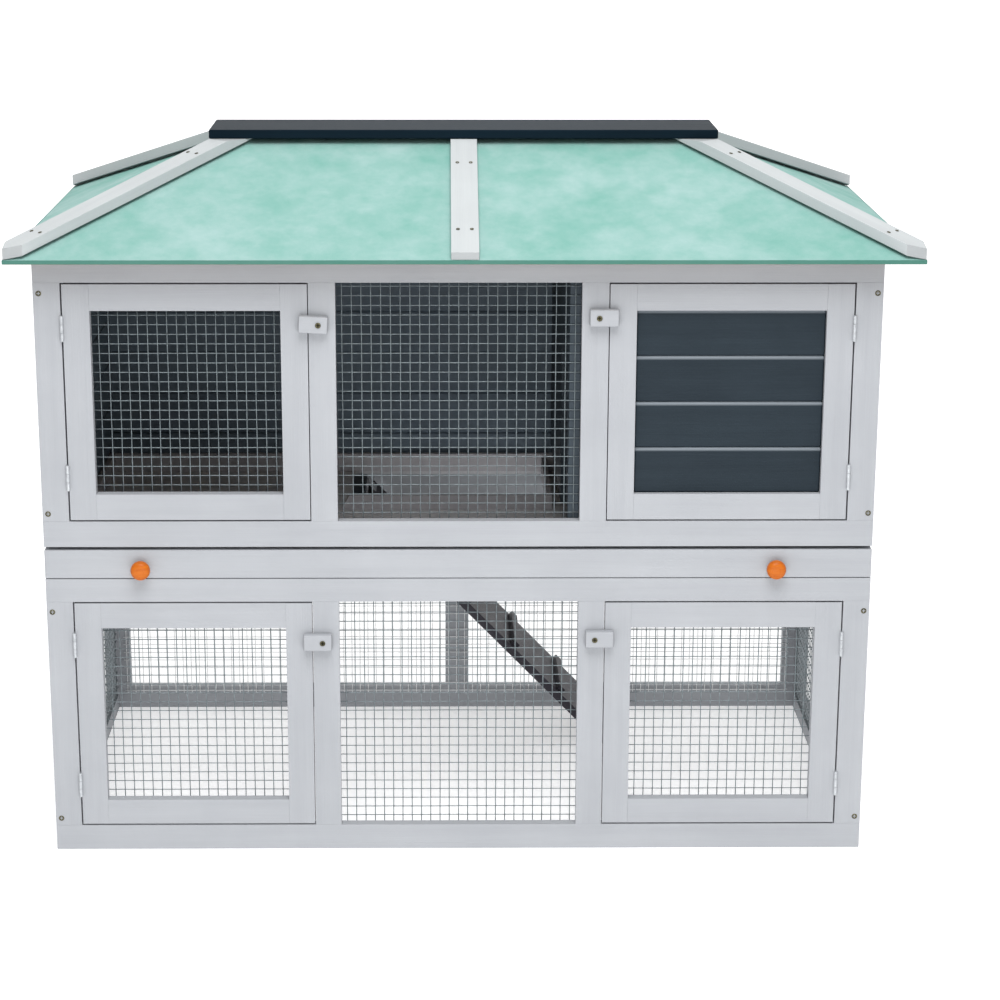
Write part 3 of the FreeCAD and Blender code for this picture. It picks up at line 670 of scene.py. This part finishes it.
for face, across in (("front", 1), ("back", 1), ("ends", 0)):
    boards, felt = Stock(), Stock()
    for points in solids(f"roof_board_{face}"):
        slab(boards, points, across, radius=0.0005)
    for points in solids(f"roof_felt_{face}"):
        slab(felt, points, across, radius=0.0005, spans=(20, 1), steps=40, relief=felt_waves)
    board_node, felt_node = f"roof_board_{face}", f"roof_felt_{face}"
    boards.piece(f"{board_node}_timber", sawn_pine, "roof_timber", "hutch", board_node)
    felt.piece(f"{felt_node}_sheet", felt_finish, "green_felt", "hutch", felt_node)

# %% Felt turned down over the eaves
# The turned-down lip takes most of the felt's deep green, as painted shade.
fold, thickness, below_top, lip_shade = 0.0055, 0.001, 0.0002, 0.85
hem = Stock()
for axis in (0, 1):
    for edge, way in ((felt_low, -1), (felt_high, 1)):
        low, high = felt_low - thickness, felt_high + thickness
        low[axis], high[axis] = sorted((edge[axis], edge[axis] + way * thickness))
        low[2], high[2] = felt_top - fold, felt_top - below_top
        corners = np.stack(np.meshgrid(*zip(low, high)), -1).reshape(-1, 3)
        timber(hem, corners, np.eye(3)[1 - axis], np.eye(3)[2], radius=0.0004,
               marked=lambda x: lip_shade)
hem.piece("felt_turned_edges", felt_finish, "green_felt", "hutch")

# %% [markdown]
# ## Battens, ridge beam and cap
#
# Battens cover the joints of the felt. A hip batten runs up the line where two faces meet,
# so its grain is read from the felt's corners. Its foot is cut plumb in line with both
# eaves, which leaves a point like an arrow's, and its top is cut level under the cap.

# %% Battens
hips = {}
middle_x = (felt_low[0] + felt_high[0]) / 2
for node in ("roof_felt_front", "roof_felt_back"):
    for points in solids(node):
        hand, way = np.sign(points.mean(0)[:2] - (middle_x, 0))
        outward = (points * (hand, way, 1)).round(5).tolist()
        foot = max(outward, key=lambda point: (point[1], point[0], point[2]))
        top = max(outward, key=lambda point: (-point[1], point[0], point[2]))
        hips[hand, way] = np.subtract(top, foot) * (hand, way, 1)

battens = Stock()
for points in solids("hip_battens"):
    hand, way = np.sign(points.mean(0)[:2] - (middle_x, 0))
    grain = unit(hips[hand, way])
    level = unit(np.cross(grain, (0, 0, 1)))
    normal = unit(np.cross(level, grain))
    cuts = [(hand, 0, 0), (0, way, 0), (0, 0, 1)]
    timber(battens, points, grain, normal if normal[2] > 0 else -normal, cuts=cuts,
           radius=0.0008, bends=3, spans=(4, 1))
for points in solids("centre_battens"):
    spread = points - points.mean(0)
    grain = unit(np.linalg.svd(spread)[2][0])
    timber(battens, points, grain, (0, 0, 1), cuts=[(0, 1, 0), (0, -1, 0)],
           radius=0.0008, bends=3)
battens.piece("battens_timber", near_white, "white_timber", "hutch",
              "hip_battens", "centre_battens")
planked("ridge_beam", sawn_pine, "roof_timber")
planked("ridge_cap", blue_black, "blue_grey_timber", radius=0.0014, bends=3)

# %% [markdown]
# ## Welded wire
#
# A sheet of welded wire is a row of upright wires and a row of level ones. Every wire is a
# tube of six sides, and a whole row is worked out as one array. Real wires are never quite
# straight, so each bends by a fraction of a millimetre along its length.

# %% Rows of wires
mesh_pitch, station_spacing, sway_size, wire_sides = 0.0127, 0.03, 0.00011, 6


def wire_row(stock, corner, along, up, inward, gauge):
    """Wires that run along up, set side by side along along.

    Wire i, station t, side k: corner + along (first + i pitch + sway) + up t + a circle of
    the wire's radius, where sway is two sine waves with a phase of the wire's own.
    """
    length, height = np.linalg.norm(along), np.linalg.norm(up)
    right, rise, inwards = unit(along), unit(up), unit(inward)
    count = int((length - 2 * gauge) / mesh_pitch)
    first = (length - count * mesh_pitch) / 2
    share = np.linspace(0, 1, int(height / station_spacing) + 2)
    angle = np.arange(wire_sides) * 2 * math.pi / wire_sides
    way_round = math.copysign(1, np.linalg.det(np.stack([right, inwards, rise])))
    circle = np.cos(angle)[:, None] * right + way_round * np.sin(angle)[:, None] * inwards
    ring = gauge / 2 * circle
    girth = np.linspace(0, math.pi * gauge, wire_sides + 1)
    for index in range(count + 1):
        phase = dice.random(3) * 2 * math.pi
        sway = sway_size * (np.sin(9 * share + phase[0]) + 0.6 * np.sin(21 * share + phase[1]))
        sideways = first + index * mesh_pitch + sway
        middle = corner + right * sideways[:, None] + rise * (height * share)[:, None]
        rings = middle[:, None, :] + ring[None, :, :]
        stock.carry(rings, share * height, girth, np.zeros((wire_sides, 2)), dice.random())


def is_upright(points, flat):
    """True for a comb of upright wires: most of its corners lie on its top and bottom."""
    at_ends = np.isclose(points[:, 2], points[:, 2].min(), atol=1e-5).sum()
    at_sides = np.isclose(points[:, flat], points[:, flat].min(), atol=1e-5).sum()
    return at_ends > at_sides


def wire_sheets(node, finish):
    """Replace the sheets of a node: each is two solids, the uprights and the level wires."""
    stock = Stock()
    for points in solids(node):
        low, high = points.min(0), points.max(0)
        thin = int(np.argmin(high - low))
        flat = 1 - thin
        run, rise = np.eye(3)[flat] * (high - low), np.eye(3)[2] * (high - low)
        corner = low.copy()
        corner[thin] = (low + high)[thin] / 2
        along, up = (run, rise) if is_upright(points, flat) else (rise, run)
        wire_row(stock, corner, along, up, np.eye(3)[thin], (high - low)[thin])
    stock.piece(f"{node}_wires", finish, "galvanised_wire", body_of[node], node)


for node in ("lower_centre_mesh", "upper_centre_mesh", "lower_side_meshes",
             "lower_left_door_mesh", "lower_right_door_mesh", "upper_left_door_mesh"):
    wire_sheets(node, zinc_wire)
# The back sheet takes the wire painted near-white, as painted light.
wire_sheets("lower_back_mesh", lit_back_wire)

# %% [markdown]
# ## Things turned round an axis
#
# A screw and a knob are profiles turned round an axis. The same carrying function makes
# them: the stations are rings of different radius. The cross recess of a screw is pressed
# in by lowering the points of the head that lie on its two bars.

# %% Turned pieces
def turned(stock, base, outward, profile, around=24, pressed=None, tone=0.5):
    """Rings round an axis: profile lists (distance outward, radius), from back to front."""
    outward = unit(outward)
    right = unit(np.cross(outward, (0, 0, 1) if abs(outward[2]) < 0.9 else (1, 0, 0)))
    top = np.cross(outward, right)
    angle = np.arange(around) * 2 * math.pi / around
    reach, radius = np.array(profile, float).T
    x, y = radius[:, None] * np.cos(angle), radius[:, None] * np.sin(angle)
    depth = np.zeros_like(x) if pressed is None else pressed(x, y)
    # Pressed points are marked for the recess's painted shade and dirt.
    mark = np.where(depth > 0, 1.0, 0.0)
    lift = reach[:, None] - depth
    rings = base + x[..., None] * right + y[..., None] * top + lift[..., None] * outward
    if pressed is not None:
        mark[:len(reach) // 2] = 0.0
    travel = np.concatenate([[0], np.cumsum(np.hypot(np.diff(reach), np.diff(radius)))])
    girth = np.linspace(0, 2 * math.pi * radius.max(), around + 1)
    ends = np.stack([x[-1], y[-1]], 1)
    stock.carry(rings, travel, girth, ends, tone, None, mark)


# The cross of the recess, in shares of the head's radius.
screw_sides, bar_half_width, bar_reach, recess_depth = 24, 0.17, 0.62, 0.0011 / 0.00375


def screw_in(stock, points):
    """A domed head with a cross recess, where a CAD screw is: its wider end is the head."""
    middle = points.mean(0)
    axis = np.linalg.svd(points - middle)[2][0]
    along = (points - middle) @ axis
    off_axis = np.linalg.norm((points - middle) - along[:, None] * axis, axis=1)
    if off_axis[along < 0].max() > off_axis[along > 0].max():
        axis, along = -axis, -along
    outer = along.max()
    rim = along > outer - 1e-5
    centre = points[rim].mean(0)
    radius = np.linalg.norm(points[rim] - centre, axis=1).max()
    under = np.sort(np.unique(along.round(6)))[-2] - outer
    shank = radius * 0.52
    share = np.linspace(0, 1, 7)
    dome = [(under * 0.35 + 0.0007 * math.cos(r * math.pi / 2) - 0.0004, radius * r)
            for r in (1.0, 0.85, 0.7, 0.55, 0.42, 0.3, 0.18, 0.02)]
    back = [(under - 0.006, shank), (under, shank), (under, radius * 0.96), (under * 0.8, radius)]

    def cross(x, y):
        on_a_bar = np.minimum(abs(x), abs(y)) < bar_half_width * radius
        return recess_depth * radius * (on_a_bar & (np.hypot(x, y) < bar_reach * radius))

    turned(stock, centre, axis, back + dome, screw_sides, cross, dice.random())


for node in ("corner_screws", "turn_button_screws", "batten_screws"):
    stock = Stock()
    for points in solids(node):
        screw_in(stock, points)
    stock.piece(f"{node}_heads", yellow_zinc, "yellow_zinc_steel", "hutch", node)

# %% Knobs
knob_sides = 40
knob_shape = [(0, 0.55), (0.02, 0.6), (0.16, 0.52), (0.24, 0.55), (0.29, 0.72), (0.34, 0.9),
              (0.42, 0.975), (0.52, 1.0), (0.64, 0.995), (0.75, 0.955), (0.85, 0.87), (0.92, 0.75),
              (0.965, 0.58), (0.975, 0.5), (0.965, 0.47), (0.985, 0.4), (0.998, 0.2), (1.0, 0.02)]
knobs = Stock()
for points in solids("tray_knobs"):
    low, high = points.min(0), points.max(0)
    radius, depth = (high[0] - low[0]) / 2, high[1] - low[1]
    base = np.array([(low[0] + high[0]) / 2, high[1], (low[2] + high[2]) / 2])
    turned(knobs, base, (0, -1, 0), [(depth * d, radius * r) for d, r in knob_shape], knob_sides)
knobs.piece("tray_knobs_turned", varnish, "orange_wood", "tray", "tray_knobs")

# %% [markdown]
# ## Pieces that keep their CAD shape
#
# The hinges and the tray's base are right as they are, so they only take a finish.

# %% Finishes on CAD nodes
def painted_sheet(name, light, dark):
    """Grey paint rolled on plywood: a map in place of the grain, which the paint hides."""
    paint = Finish(name)
    at = paint.place()
    scuffs = paint.noise(paint.stretched(at, (14.0, 70.0, 14.0)), 1.0, 5.0)
    stipple = paint.noise(at, 420.0, 2.0)
    colour = paint.mix(paint.between(scuffs, 0.35, 0.7), light, dark)
    return paint.done({"Base Color": colour, "Roughness": scuffs * 0.2 + 0.5,
                       "Normal": paint.bump(stipple + scuffs, 0.0002)}, {})


grey_sheet = painted_sheet("grey painted plywood", (0.62, 0.62, 0.64), (0.50, 0.50, 0.52))
hinge_nodes = [node for node in frame["nodes"] if node.endswith("_leaves")]
for node, finish in [("tray_base", grey_sheet)] + [(node, zinc_sheet) for node in hinge_nodes]:
    cad = frame["nodes"][node]
    cad.data.materials.clear()
    cad.data.materials.append(finish)
print("kept:", "tray_base", *hinge_nodes)

# %% [markdown]
# ## Light and floor
#
# A white world with wide lamps is as soft as a tent of lamps, with less noise. The key lamp
# stands high in front, so the tops of the battens are the brightest wood and the eaves cast
# a soft shade. A weak lamp near the floor lifts the lower storey. The floor glows faintly,
# like a packshot table, so that it stays pale, and white paper stands behind the hutch.

# %% Floor
def sheet(name, corner, along, up, finish, steps=13):
    """A flat grid: corner + along s + up t, with s and t from 0 to 1."""
    s, t = np.meshgrid(np.linspace(0, 1, steps), np.linspace(0, 1, steps))
    points = corner + s[..., None] * np.array(along) + t[..., None] * np.array(up)
    index = np.arange(steps * steps).reshape(steps, steps)
    quads = np.stack([index[:-1, :-1], index[:-1, 1:], index[1:, 1:], index[1:, :-1]], -1)
    mesh = bpy.data.meshes.new(name)
    mesh.from_pydata(points.reshape(-1, 3).tolist(), [], quads.reshape(-1, 4).tolist())
    mesh.materials.append(finish)
    made = bpy.data.objects.new(name, mesh)
    bpy.context.scene.collection.objects.link(made)
    return made


def glowing(name, paler, darker, strength):
    """Matt white that also gives off a little light of its own."""
    glow = Finish(name)
    colour = glow.mix(glow.between(glow.noise(glow.place(), 2.0), 0.3, 0.7), darker, paler)
    return glow.done({"Base Color": colour}, {
        "Roughness": 0.9, "Emission Color": (1.0, 1.0, 1.0, 1.0), "Emission Strength": strength})


table = glowing("pale floor", (0.84, 0.84, 0.84), (0.80, 0.80, 0.81), 0.45)
paper = glowing("white backdrop", (0.50, 0.50, 0.50), (0.48, 0.48, 0.48), 1.0)
floor = sheet("floor", (-14.0, -14.0, -0.0004), (28.0, 0.0, 0.0), (0.0, 28.0, 0.0), table)
backdrop = sheet("backdrop", (-14.0, 7.9, -0.5), (28.0, 0.0, 0.0), (0.0, 0.0, 9.0), paper)
print("floor and backdrop made")

# %% World and lamps
world = bpy.data.worlds.new("white room")
world.use_nodes = True
sky = world.node_tree.nodes["Background"]
sky.inputs["Color"].default_value = (1.0, 1.0, 1.0, 1.0)
sky.inputs["Strength"].default_value = 0.62
bpy.context.scene.world = world
bpy.context.scene.view_settings.view_transform = "Standard"


def lamp(name, size, watts, location, turn):
    data = bpy.data.lights.new(name, "AREA")
    data.shape, data.size, data.energy = "DISK", size, watts
    made = bpy.data.objects.new(name, data)
    made.location, made.rotation_euler = location, turn
    made.visible_camera = False
    bpy.context.scene.collection.objects.link(made)


lamp("overhead", 2.4, 16.0, (0.2, 0.0, 3.2), (0, 0, 0))
lamp("key", 2.4, 119.0, (0.1, -2.1, 3.6), (math.radians(33), 0, 0))
lamp("low fill", 1.4, 9.0, (0.0, -1.7, 0.05), (math.radians(90), 0, 0))
print(len(bpy.data.lights), "lamps")
